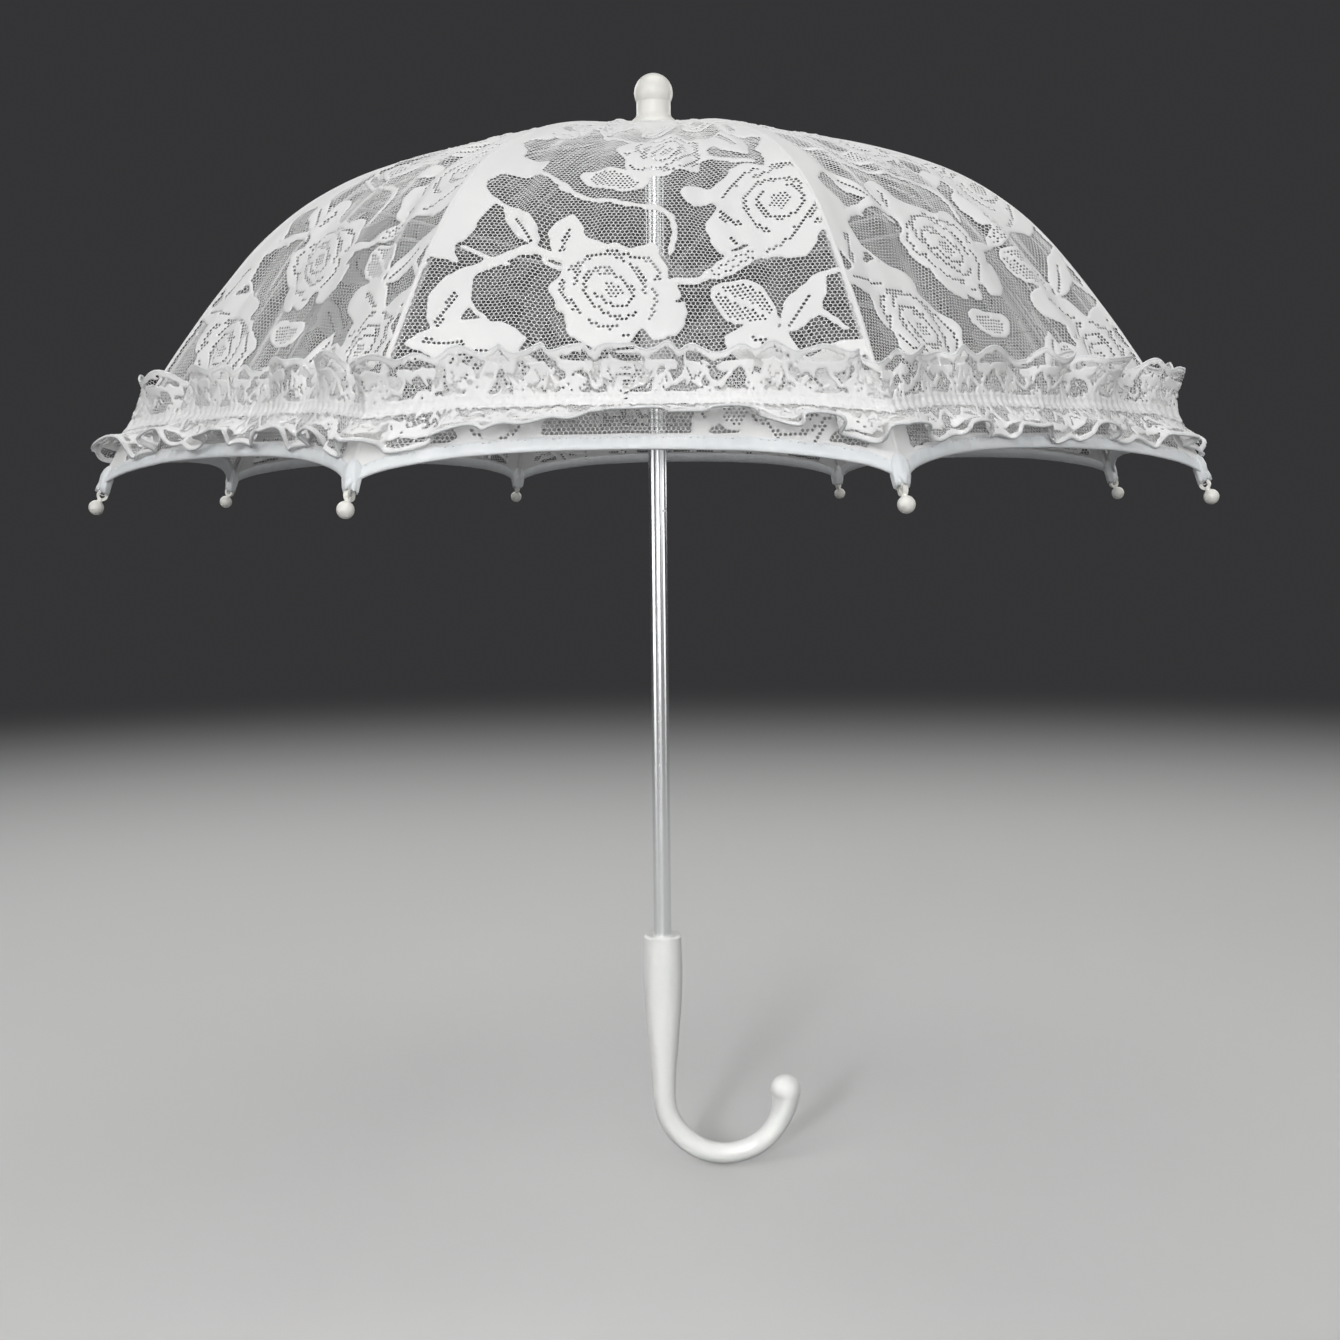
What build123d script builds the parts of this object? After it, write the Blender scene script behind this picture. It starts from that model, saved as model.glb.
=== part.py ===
from build123d import *
import os
from math import asin, atan2, cos, degrees, hypot, pi, radians, sin, sqrt, tan

# Lace parasol, open, in millimetres.  +Z runs up the shaft, the crook lies in the XZ plane
# and opens towards +X, and the origin is on the shaft's axis in the middle of the hand grip.

os.makedirs("parts", exist_ok=True)

# ---- driving dimensions -------------------------------------------------------------------
RIBS = 8
FIRST_AZIMUTH = -70.0          # direction of rib 1, degrees from +X towards +Y
STEP_AZIMUTH = 360 / RIBS
HALF_GORE = radians(STEP_AZIMUTH / 2)

# heights of the main features above the grip's middle
SHAFT_BOTTOM = -5.5
HANDLE_TOP = 36.0
HINGE_Z = 389.0                # rib hinges in the crown
HINGE_R = 8.0
RUNNER_Z = 334.0               # ring wire of the runner, parasol open
RUNNER_WIRE_R = 10.5

# shaft
SHAFT_R = 4.0
SHAFT_WALL = 0.5
SHAFT_TOP = 412.0

# ribs: a short straight lead-in, then three tangent arcs (radius, degrees turned downwards)
RIB_R = 0.9
RIB_RISE = 1.75
RIB_LEAD = 4.0
RIB_ARCS = ((279.0, 23.6), (133.0, 28.4), (500.0, 12.3))
EYE_R = 1.7
EYE_HOLE_R = 0.7
EYE_THICK = 1.4
WIRE_R = 0.5                   # the two binding wires, in the crown and in the runner

# joint between rib and stretcher, and how far the rib folds
JOINT_AT = 138.0               # distance along the rib from its hinge
JOINT_DROP = 2.4               # pivot below the rib's centre line
FOLD_ANGLE = 55.4
LUG_R = 2.0
LUG_THICK = 1.8
RIVET_R = 0.6
RIVET_HEAD_R = 1.3
RIVET_HEAD = 0.6
RUNNING_GAP = 0.3

# rib tip
BALL_R = 3.0
TIP_REACH = 8.2                # rib end to ball centre
TIP_EYE_R = 2.2
TIP_EYE_HOLE_R = 1.1
TIP_EYE_AT = 5.4               # back from the ball's centre
SOCKET_R = 1.6
SOCKET_LENGTH = 5.0

# stretcher
STRETCHER_R = 0.9
CHEEK = 0.7
CHEEK_W = 3.2
FORK_LENGTH = 6.0
HOOK_R = 1.9
HOOK_HOLE_R = WIRE_R + 0.35
HOOK_THICK = 1.4
HOOK_OFFSET = 1.9              # the rod runs this far below the ring wire

# runner
RUNNER_BORE_R = 4.3
SLEEVE_R = 7.0
SLEEVE_LENGTH = 42.0
FLANGE_R = 12.6
FLANGE_BELOW = 2.6
FLANGE_ABOVE = 2.6
COLLAR_R = 6.6
COLLAR_TOP = 7.0
LIP_R = 7.6
LIP_H = 4.0
SLOT_W = 2.4
KEYWAY_W = 2.8
KEYWAY_R = 6.1

# crown
CROWN_R = 10.6
CROWN_BELOW = 4.2
CROWN_ABOVE = 3.2
WASHER_R = 13.0
WASHER_H = 0.8

# top catch, a flat spring inside the shaft with its nose under the runner
CATCH_AZIMUTH = FIRST_AZIMUTH - 1.5 * STEP_AZIMUTH
CATCH_PIN_Z = 229.2
CATCH_PIN_R = 0.75
CATCH_W = 1.6
CATCH_T = 0.6
NOSE_REACH = 5.6
NOSE_H = 8.0

# ferrule
FERRULE_BALL_R = 8.45
FERRULE_NECK_R = 7.5
FERRULE_FOOT_R = 10.4
FERRULE_WAIST_R = 9.8          # top of the foot's cone
FERRULE_WAIST_Z = 399.0
FERRULE_TOP = 419.7

# handle
GRIP_TOP_R = 8.5
GRIP_R = 8.85
NECK_R = 5.2
NECK_Z = -40.0
HOOK_BEND_R = 28.0
HOOK_ROD_R = 4.7
BULB_R = 7.0
BULB_RISE = 2.0
SHAFT_SOCKET = 42.0

# canopy and ruffle
FABRIC_LIFT = 2.2              # fabric above the rib's centre line
FABRIC_T = 0.8
EXTRA_SAG = 0.022              # gore centre inside the flat chord, as a share of the radius
CANOPY_START_R = 11.6
SCALLOP = 27.0                 # hem rise from tip to gore centre, measured along the rib
HEM_BACK = -6.5                # hem corner relative to the rib's end
SPLIT_GAP = 0.2                # each strip stops this far short of the gore's centre
RUFFLE_LOW = 8.0               # lower edge of the ruffle above the hem, along the rib
RUFFLE_HIGH = 40.0
RUFFLE_STAND = 12.0
RUFFLE_T = 1.2
RUFFLE_GAP = 0.2

# ---- the rib's centre line, drawn in a plane: X outwards, Y up ------------------------------
lead = Line((HINGE_R, HINGE_Z), (HINGE_R + RIB_LEAD, HINGE_Z + RIB_LEAD * tan(radians(RIB_RISE))))
pieces = [lead]
for arc_radius, turn in RIB_ARCS:
    last = pieces[-1]
    pieces.append(JernArc(start=last @ 1, tangent=last % 1, radius=arc_radius, arc_size=-turn))
rib_line = Wire([edge for piece in pieces for edge in piece.edges()])
RIB_LENGTH = rib_line.length


def rib_at(distance):
    """Point and direction of the rib's centre line, this far from its hinge."""
    if distance > RIB_LENGTH:
        direction = rib_line % 1
        return rib_line @ 1 + direction * (distance - RIB_LENGTH), direction
    share = max(distance, 0) / RIB_LENGTH
    return rib_line @ share, rib_line % share


def place(solid, azimuth):
    """Stands a solid drawn in the rib's plane upright, at this azimuth."""
    return Rot(0, 0, azimuth) * (Rot(90, 0, 0) * solid)


def azimuth_of(index):
    return FIRST_AZIMUTH + STEP_AZIMUTH * index


def save(solid, name):
    solid.label = name
    export_step(solid, f"parts/{name}.step")


def rod(start, end, radius):
    """Straight round rod between two points."""
    path = Line(start, end)
    return sweep(Plane(origin=path @ 0, z_dir=path % 0) * Circle(radius), path=path)


def rotated(point, centre, angle):
    """A point of the rib's plane turned downwards about a centre."""
    x, y = point[0] - centre[0], point[1] - centre[1]
    c, s = cos(angle), sin(angle)
    return (centre[0] + c * x + s * y, centre[1] - s * x + c * y)


# ---- linkage -------------------------------------------------------------------------------
hinge = (HINGE_R, HINGE_Z)
on_rib, along = rib_at(JOINT_AT)
pivot = (on_rib.X + along.Y * JOINT_DROP, on_rib.Y - along.X * JOINT_DROP)
wire_point = (RUNNER_WIRE_R, RUNNER_Z)
stretcher_length = hypot(pivot[0] - wire_point[0], pivot[1] - wire_point[1])
stretcher_angle = atan2(pivot[1] - wire_point[1], pivot[0] - wire_point[0])
folded_pivot = rotated(pivot, hinge, radians(FOLD_ANGLE))
folded_drop = sqrt(stretcher_length**2 - (folded_pivot[0] - RUNNER_WIRE_R) ** 2)
folded_angle = atan2(folded_drop, folded_pivot[0] - RUNNER_WIRE_R)
TRAVEL = RUNNER_Z - (folded_pivot[1] - folded_drop)
ball_centre, tip_direction = rib_at(RIB_LENGTH + TIP_REACH)
ball = (ball_centre.X, ball_centre.Y)
print("rib length", round(RIB_LENGTH, 3), "tip radius", round(ball[0], 2))
print("pivot", pivot, "stretcher", round(stretcher_length, 3), "travel", round(TRAVEL, 4))
turned = FOLD_ANGLE + degrees(folded_angle - stretcher_angle)
folded_ball = rotated(ball, hinge, radians(FOLD_ANGLE))
print("stretcher turns on its rib by", round(turned, 4), "folded tip radius", round(folded_ball[0], 2))


# ---- ribs ----------------------------------------------------------------------------------
def make_rib():
    """Steel rib with a hinge eye at the crown and a lug for the stretcher."""
    wire = sweep(Plane(origin=rib_line @ 0, z_dir=rib_line % 0) * Circle(RIB_R), path=rib_line)
    eye = Pos(*hinge, 0) * Cylinder(EYE_R, EYE_THICK)
    eye_hole = Pos(*hinge, 0) * Cylinder(EYE_HOLE_R, 2 * EYE_THICK)
    lug = Pos(*pivot, 0) * Cylinder(LUG_R, LUG_THICK)
    rivet_hole = Pos(*pivot, 0) * Cylinder(RIVET_R + 0.05, 2 * LUG_THICK)
    return wire + eye + lug - eye_hole - rivet_hole


def make_rivet():
    """Rivet through the lug, with a head outside each cheek of the fork."""
    head_at = LUG_THICK / 2 + RUNNING_GAP + CHEEK + 0.25
    pin = Cylinder(RIVET_R, 2 * head_at)
    for side in (-1, 1):
        pin += Pos(0, 0, side * (head_at + RIVET_HEAD / 2)) * Cylinder(RIVET_HEAD_R, RIVET_HEAD)
    return Pos(*pivot, 0) * pin


def make_tip():
    """Moulded tip: a socket on the rib's end, a sewing eye and a ball."""
    frame = Plane(origin=(*ball, 0), x_dir=(0, 0, 1), z_dir=tip_direction * -1)
    tip = frame * Sphere(BALL_R)
    neck_length = TIP_EYE_AT
    tip += frame * (Pos(0, 0, neck_length / 2) * Cylinder(1.1, neck_length))
    socket_low = TIP_REACH - 1.2
    socket_mid = socket_low + SOCKET_LENGTH / 2
    tip += frame * (Pos(0, 0, socket_mid) * Cylinder(SOCKET_R, SOCKET_LENGTH))
    eye_axis = Rot(0, 90, 0)
    tip += frame * (Pos(0, 0, TIP_EYE_AT) * (eye_axis * Cylinder(TIP_EYE_R, 1.8)))
    tip -= frame * (Pos(0, 0, TIP_EYE_AT) * (eye_axis * Cylinder(TIP_EYE_HOLE_R, 6)))
    bore_mid = TIP_REACH + SOCKET_LENGTH / 2
    tip -= frame * (Pos(0, 0, bore_mid) * Cylinder(RIB_R + 0.02, SOCKET_LENGTH))
    return tip


# ---- stretchers ----------------------------------------------------------------------------
def make_stretcher():
    """Rod with a riveted fork at the rib and an open hook round the runner's wire.

    Drawn with the ring wire at the origin and the rivet on +X, then turned into place.
    """
    fork_x = stretcher_length - FORK_LENGTH
    web_w = LUG_THICK + 2 * (RUNNING_GAP + CHEEK)
    body = Pos(fork_x, 0, 0) * Box(2.4, CHEEK_W, web_w)
    for side in (-1, 1):
        z = side * (LUG_THICK / 2 + RUNNING_GAP + CHEEK / 2)
        body += Pos(stretcher_length - FORK_LENGTH / 2, 0, z) * Box(FORK_LENGTH, CHEEK_W, CHEEK)
        body += Pos(stretcher_length, 0, z) * Cylinder(CHEEK_W / 2, CHEEK)
    body -= Pos(stretcher_length, 0, 0) * Cylinder(RIVET_R + 0.05, 3 * web_w)
    body += rod((1.2, -HOOK_OFFSET, 0), (fork_x, 0, 0), STRETCHER_R)
    hook = Cylinder(HOOK_R, HOOK_THICK) - Cylinder(HOOK_HOLE_R, 2 * HOOK_THICK)
    hook -= Pos(0, HOOK_R, 0) * Box(4 * HOOK_R, 2 * HOOK_R, 2 * HOOK_THICK)
    body -= Cylinder(HOOK_HOLE_R, 4 * HOOK_THICK)
    return Pos(*wire_point, 0) * (Rot(0, 0, degrees(stretcher_angle)) * (body + hook))


# ---- crown, runner and their binding wires ---------------------------------------------------
def slots(inner_r, outer_r, height, middle_z, width):
    """Radial slots, one for each rib, open outwards."""
    cutter = None
    length = outer_r - inner_r + 2
    for index in range(RIBS):
        slot = Rot(0, 0, azimuth_of(index)) * (
            Pos(inner_r + length / 2, 0, middle_z) * Box(length, width, height)
        )
        cutter = slot if cutter is None else cutter + slot
    return cutter


def make_crown():
    """Slotted nave that holds the ribs' eyes at the top of the shaft."""
    height = CROWN_BELOW + CROWN_ABOVE
    middle = HINGE_Z + (CROWN_ABOVE - CROWN_BELOW) / 2
    crown = Pos(0, 0, middle) * Cylinder(CROWN_R, height)
    crown -= Pos(0, 0, middle) * Cylinder(SHAFT_R, height + 1)
    crown -= slots(HINGE_R - EYE_R - 0.4, CROWN_R, height + 1, middle, EYE_THICK + 0.6)
    crown -= Pos(0, 0, HINGE_Z) * Torus(HINGE_R, WIRE_R + 0.05)
    return crown


def make_washer():
    middle = HINGE_Z + CROWN_ABOVE + WASHER_H / 2
    return Pos(0, 0, middle) * (Cylinder(WASHER_R, WASHER_H) - Cylinder(SHAFT_R, 2 * WASHER_H))


def make_runner():
    """Sliding sleeve with a slotted flange, a finger lip and a keyway past the catch."""
    low = RUNNER_Z - SLEEVE_LENGTH
    sleeve_h = SLEEVE_LENGTH - FLANGE_BELOW
    runner = Pos(0, 0, low + sleeve_h / 2) * Cylinder(SLEEVE_R, sleeve_h)
    runner += Pos(0, 0, low + LIP_H / 2) * Cylinder(LIP_R, LIP_H)
    flange_h = FLANGE_BELOW + FLANGE_ABOVE
    flange_mid = RUNNER_Z + (FLANGE_ABOVE - FLANGE_BELOW) / 2
    runner += Pos(0, 0, flange_mid) * Cylinder(FLANGE_R, flange_h)
    collar_h = COLLAR_TOP - FLANGE_ABOVE
    runner += Pos(0, 0, RUNNER_Z + FLANGE_ABOVE + collar_h / 2) * Cylinder(COLLAR_R, collar_h)
    full = SLEEVE_LENGTH + COLLAR_TOP
    middle = low + full / 2
    runner -= Pos(0, 0, middle) * Cylinder(RUNNER_BORE_R, full + 2)
    runner -= slots(SLEEVE_R + 0.4, FLANGE_R, flange_h + 1, flange_mid, SLOT_W)
    runner -= Pos(0, 0, RUNNER_Z) * Torus(RUNNER_WIRE_R, WIRE_R + 0.05)
    keyway = Pos(KEYWAY_R / 2, 0, middle) * Box(KEYWAY_R, KEYWAY_W, full + 2)
    return runner - Rot(0, 0, CATCH_AZIMUTH) * keyway


# ---- shaft, catch and catch pin --------------------------------------------------------------
nose_top = RUNNER_Z - SLEEVE_LENGTH - RUNNING_GAP


def make_shaft():
    """Chromed tube with a slot for the catch and a hole for its pin."""
    height = SHAFT_TOP - SHAFT_BOTTOM
    middle = (SHAFT_TOP + SHAFT_BOTTOM) / 2
    tube = Pos(0, 0, middle) * Cylinder(SHAFT_R, height)
    tube -= Pos(0, 0, middle) * Cylinder(SHAFT_R - SHAFT_WALL, height + 1)
    slot_h = NOSE_H + 3
    slot = Pos(SHAFT_R, 0, nose_top + 1 - slot_h / 2) * Box(SHAFT_R, CATCH_W + 0.8, slot_h)
    pin_hole = Pos(0, 0, CATCH_PIN_Z) * (Rot(90, 0, 0) * Cylinder(CATCH_PIN_R, 3 * SHAFT_R))
    return tube - Rot(0, 0, CATCH_AZIMUTH) * (slot + pin_hole)


def make_catch_pin():
    pin = Rot(90, 0, 0) * Cylinder(CATCH_PIN_R, 2 * SHAFT_R)
    return Rot(0, 0, CATCH_AZIMUTH) * (Pos(0, 0, CATCH_PIN_Z) * pin)


def make_catch():
    """Flat spring: an eye on the pin, a blade up the tube and a wedge-shaped nose."""
    blade_x = SHAFT_R - SHAFT_WALL - RUNNING_GAP - CATCH_T
    outline = Polyline(
        (-CATCH_T / 2, CATCH_PIN_Z),
        (CATCH_T / 2, CATCH_PIN_Z),
        (CATCH_T / 2, CATCH_PIN_Z + 12),
        (blade_x + CATCH_T, nose_top - NOSE_H - 4),
        (blade_x + CATCH_T, nose_top - NOSE_H),
        (NOSE_REACH, nose_top - 1.5),
        (NOSE_REACH, nose_top),
        (blade_x, nose_top),
        (blade_x, nose_top - NOSE_H - 4),
        (-CATCH_T / 2, CATCH_PIN_Z + 12),
        close=True,
    )
    blade = extrude(make_face(outline), CATCH_W / 2, both=True)
    eye = Pos(0, CATCH_PIN_Z, 0) * Cylinder(1.6, CATCH_W)
    hole = Pos(0, CATCH_PIN_Z, 0) * Cylinder(CATCH_PIN_R + 0.08, 3 * CATCH_W)
    return place(blade + eye - hole, CATCH_AZIMUTH)


# ---- ferrule and handle ----------------------------------------------------------------------
def make_ferrule():
    """Turned cap: a flared foot, a short neck and a ball, pressed on the tube's end."""
    foot_z = HINGE_Z + CROWN_ABOVE + WASHER_H
    ball_z = FERRULE_TOP - FERRULE_BALL_R
    meet = ball_z - sqrt(FERRULE_BALL_R**2 - FERRULE_NECK_R**2)
    foot = Line((0, foot_z), (FERRULE_FOOT_R, foot_z))
    rim = Line(foot @ 1, (FERRULE_WAIST_R, FERRULE_WAIST_Z))
    flare = Spline(rim @ 1, (FERRULE_NECK_R, FERRULE_WAIST_Z + 3.4), tangents=[(-0.6, 1), (0, 1)])
    neck = Line(flare @ 1, (FERRULE_NECK_R, meet))
    dome = ThreePointArc(
        neck @ 1,
        (FERRULE_BALL_R, ball_z),
        (0, FERRULE_TOP),
    )
    axis = Line(dome @ 1, (0, foot_z))
    profile = make_face(foot + rim + flare + neck + dome + axis)
    cap = revolve(Rot(90, 0, 0) * profile, Axis.Z)
    bore_h = SHAFT_TOP - foot_z
    return cap - Pos(0, 0, foot_z + bore_h / 2) * Cylinder(SHAFT_R, bore_h)


def make_handle():
    """Crook handle: a tapered grip on the shaft, a round bend and a bulb at the end."""
    low = Line((0, NECK_Z), (NECK_R, NECK_Z))
    side = Spline(
        low @ 1,
        (NECK_R + 1.5, NECK_Z + 24),
        (GRIP_R, HANDLE_TOP - 20),
        (GRIP_TOP_R, HANDLE_TOP - 1),
        tangents=[(0, 1), (-0.03, 1)],
    )
    edge = Line(side @ 1, (GRIP_TOP_R - 0.8, HANDLE_TOP))
    top = Line(edge @ 1, (0, HANDLE_TOP))
    axis = Line(top @ 1, low @ 0)
    grip = revolve(Rot(90, 0, 0) * make_face(low + side + edge + top + axis), Axis.Z)
    stations = 9
    sections = []
    for index in range(stations):
        share = index / (stations - 1)
        angle = pi * (1 + share)
        centre = (HOOK_BEND_R + HOOK_BEND_R * cos(angle), 0, NECK_Z + HOOK_BEND_R * sin(angle))
        ahead = (-sin(angle), 0, cos(angle))
        radius = NECK_R + (HOOK_ROD_R - NECK_R) * min(1, 2 * share)
        if share > 0.75:
            radius += (BULB_R - HOOK_ROD_R) * 0.8 * ((share - 0.75) / 0.25) ** 2
        sections.append(Plane(origin=centre, z_dir=ahead) * Circle(radius))
    bend = loft(sections)
    bulb = Pos(2 * HOOK_BEND_R, 0, NECK_Z + BULB_RISE) * Sphere(BULB_R)
    handle = grip + bend + bulb
    socket_mid = HANDLE_TOP - SHAFT_SOCKET / 2
    return handle - Pos(0, 0, socket_mid) * Cylinder(SHAFT_R, SHAFT_SOCKET)


# ---- canopy and ruffle -------------------------------------------------------------------------
def fabric_point(distance, share, lift=0.0):
    """Point of the cloth: along the rib, across from rib (0) to gore centre (-1 or 1).

    Between two ribs the cloth runs nearly straight, so it drops below the rib by the
    chord's depth and a little more.
    """
    point, direction = rib_at(distance)
    out = (-direction.Y, direction.X)
    base_x = point.X + out[0] * FABRIC_LIFT
    base_z = point.Y + out[1] * FABRIC_LIFT
    chord = sin(HALF_GORE) ** 2
    side = abs(share)

    def drop(part):
        return -base_x * out[0] * (chord * part + EXTRA_SAG * part * (2 - part))

    edge_x = base_x + drop(1) * out[0]
    half_width = edge_x * tan(HALF_GORE) - SPLIT_GAP / cos(HALF_GORE)
    depth = drop(side) + lift
    x = base_x + depth * out[0]
    z = base_z + depth * out[1]
    return (x, half_width * share, z)


def hem_at(share):
    """Distance along the rib at which the hem lies, in a parabola between the tips."""
    side = abs(share)
    return RIB_LENGTH + HEM_BACK - SCALLOP * side * (2 - side)


def skin(outer, inner):
    """Closed solid between two grids of points with the same rows and columns."""
    rows, columns = len(outer), len(outer[0])
    faces = []

    def tile(a, b, c, d):
        for corners in ((a, b, c), (a, c, d)):
            faces.append(Face(Wire.make_polygon(corners, close=True)))

    for i in range(rows - 1):
        for j in range(columns - 1):
            tile(outer[i][j], outer[i + 1][j], outer[i + 1][j + 1], outer[i][j + 1])
            tile(inner[i][j], inner[i][j + 1], inner[i + 1][j + 1], inner[i + 1][j])
    for i in range(rows - 1):
        tile(outer[i][0], inner[i][0], inner[i + 1][0], outer[i + 1][0])
        tile(outer[i][-1], outer[i + 1][-1], inner[i + 1][-1], inner[i][-1])
    for j in range(columns - 1):
        tile(outer[0][j], outer[0][j + 1], inner[0][j + 1], inner[0][j])
        tile(outer[-1][j], inner[-1][j], inner[-1][j + 1], outer[-1][j + 1])
    return Solid(Shell(faces))


def make_canopy_strip():
    """The cloth carried by one rib, from one gore's centre to the next."""
    start = CANOPY_START_R - HINGE_R
    rows = 11
    shares = (-1, -0.75, -0.5, -0.25, 0, 0.25, 0.5, 0.75, 1)
    grids = []
    for lift in (FABRIC_T / 2, -FABRIC_T / 2):
        grid = []
        for i in range(rows):
            part = i / (rows - 1)
            grid.append([fabric_point(start + part * (hem_at(s) - start), s, lift) for s in shares])
        grids.append(grid)
    return skin(*grids)


def make_ruffle_strip():
    """Gathered lace trim, sewn on along its middle, with both edges standing out."""
    shares = (-1, -0.75, -0.5, -0.25, 0, 0.25, 0.5, 0.75, 1)
    heights = (RUFFLE_HIGH, (RUFFLE_HIGH + RUFFLE_LOW) / 2, RUFFLE_LOW)
    lifts = (RUFFLE_STAND * 0.8, FABRIC_T + RUFFLE_GAP, RUFFLE_STAND)
    outer = []
    inner = []
    for height, lift in zip(heights, lifts):
        inner.append([fabric_point(hem_at(s) - height, s, lift) for s in shares])
        outer.append([fabric_point(hem_at(s) - height, s, lift + RUFFLE_T) for s in shares])
    return skin(outer, inner)


# ---- write every piece --------------------------------------------------------------------------
save(make_shaft(), "shaft_tube")
save(make_handle(), "crook_handle")
save(make_ferrule(), "ferrule")
save(make_crown(), "crown_nave")
save(Pos(0, 0, HINGE_Z) * Torus(HINGE_R, WIRE_R), "crown_wire")
save(make_washer(), "top_washer")
save(make_catch_pin(), "catch_pin")
save(make_catch(), "top_catch")
save(make_runner(), "runner")
save(Pos(0, 0, RUNNER_Z) * Torus(RUNNER_WIRE_R, WIRE_R), "runner_wire")
drawn = {
    "rib": make_rib(),
    "rivet": make_rivet(),
    "tip": make_tip(),
    "stretcher": make_stretcher(),
}
cloth = {"canopy": make_canopy_strip(), "ruffle": make_ruffle_strip()}
for index in range(RIBS):
    azimuth = azimuth_of(index)
    for name, solid in drawn.items():
        save(place(solid, azimuth), f"{name}_{index + 1}")
    for name, solid in cloth.items():
        save(Rot(0, 0, azimuth) * solid, f"{name}_{index + 1}")
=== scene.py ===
import math

import bpy
import numpy as np
from mathutils import Matrix, Vector


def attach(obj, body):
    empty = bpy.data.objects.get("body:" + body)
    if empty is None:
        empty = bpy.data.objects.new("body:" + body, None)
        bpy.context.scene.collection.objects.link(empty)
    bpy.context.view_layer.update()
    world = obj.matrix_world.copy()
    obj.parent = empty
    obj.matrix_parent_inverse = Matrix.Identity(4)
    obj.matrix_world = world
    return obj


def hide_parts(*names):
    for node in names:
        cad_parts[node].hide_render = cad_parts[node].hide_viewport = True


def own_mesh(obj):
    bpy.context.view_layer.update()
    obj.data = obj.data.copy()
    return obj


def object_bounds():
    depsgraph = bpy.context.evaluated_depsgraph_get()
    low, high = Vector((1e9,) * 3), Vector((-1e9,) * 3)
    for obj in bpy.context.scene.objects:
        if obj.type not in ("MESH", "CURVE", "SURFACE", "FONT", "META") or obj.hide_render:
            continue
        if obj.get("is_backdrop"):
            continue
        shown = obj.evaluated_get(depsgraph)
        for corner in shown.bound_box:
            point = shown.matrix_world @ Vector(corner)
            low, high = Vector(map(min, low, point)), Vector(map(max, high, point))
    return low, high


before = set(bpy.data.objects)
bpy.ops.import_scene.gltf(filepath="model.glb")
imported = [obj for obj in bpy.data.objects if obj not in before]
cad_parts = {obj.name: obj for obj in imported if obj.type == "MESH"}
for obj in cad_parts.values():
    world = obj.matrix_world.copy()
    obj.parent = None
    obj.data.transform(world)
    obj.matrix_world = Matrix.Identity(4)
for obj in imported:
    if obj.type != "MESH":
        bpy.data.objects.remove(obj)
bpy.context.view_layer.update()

# Lace parasol: eight gores of machine lace on an eight-rib frame, with a double ruffle.
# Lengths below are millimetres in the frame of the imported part; MM turns them into metres.
MM = 0.001

# ---- the frame's curve, which the cloth follows ------------------------------------------------
RIB_COUNT = 8
FIRST_AZIMUTH = -70.0
STEP_AZIMUTH = 360.0 / RIB_COUNT
HALF_GORE = math.radians(STEP_AZIMUTH / 2)
HINGE_RADIUS = 8.0
HINGE_HEIGHT = 389.0
# A rib is a short straight lead from its hinge, then arcs by radius and turn in degrees.
RIB_RISE = math.radians(1.75)
RIB_LEAD = 4.0 / math.cos(RIB_RISE)
RIB_ARCS = ((279.0, 23.6), (133.0, 28.4), (500.0, 12.3))
RIB_LENGTH = RIB_LEAD + sum(radius * math.radians(turn) for radius, turn in RIB_ARCS)
BALL_PAST_END = 8.2
EYE_BEHIND_BALL = 5.4
# The cloth: its height over the rib, its sag between ribs, and the arch of its hem from tip to tip.
FABRIC_LIFT = 2.2
EXTRA_SAG = 0.022
CORNER_BACK = 2.0
HEM_LEVEL = 18.0
HEM_SCALLOP = 10.7
CORNER_PULL = 4.5
CORNER_REACH = 0.04
CANOPY_START = 3.6

# ---- cloth -------------------------------------------------------------------------------------
# Net: distance between its cells, and how far a cell opens in plain net, close net and rows of dots.
NET_PITCH = 1.65
NET_HOLE = 0.84
CLOSE_HOLE = 0.56
DOT_HOLE = 0.69
# A cell that opens less than this belongs to a worked figure, whose outline is drawn smooth.
GROUND_FROM = 0.74
OUTLINE_ROUNDS = 5
THREAD_DROP = 0.16
MOTIF_RISE = 0.3
HUB_RISE = 0.1
PETAL_WOBBLE = 0.1
LEFT_BAND_END = 198.0
RIGHT_BAND_END = 150.0
CORNER_SOLID_FROM = 250.0
CORNER_SOLID_WIDTH = 8.0
BINDING_WIDTH = 5.6
STITCH_PITCH = 2.3
# Ruffle: its net, its edge's scallops, its sprigs, and where and how full it is sewn on.
TRIM_PITCH = 1.2
TRIM_HOLE = 0.81
TRIM_EYELET = 0.94
TRIM_SCALLOP = 17.0
TRIM_BORDER = 1.7
TRIM_BAND = 2.3
TRIM_REPEAT = 34.0
TRIM_HALF = 18.5
TRIM_STITCH = 19.0
TRIM_RISE = 5.0
TRIM_FULLNESS = 1.25
GATHERS = 46
CORD_ROW = 1.6


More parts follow.
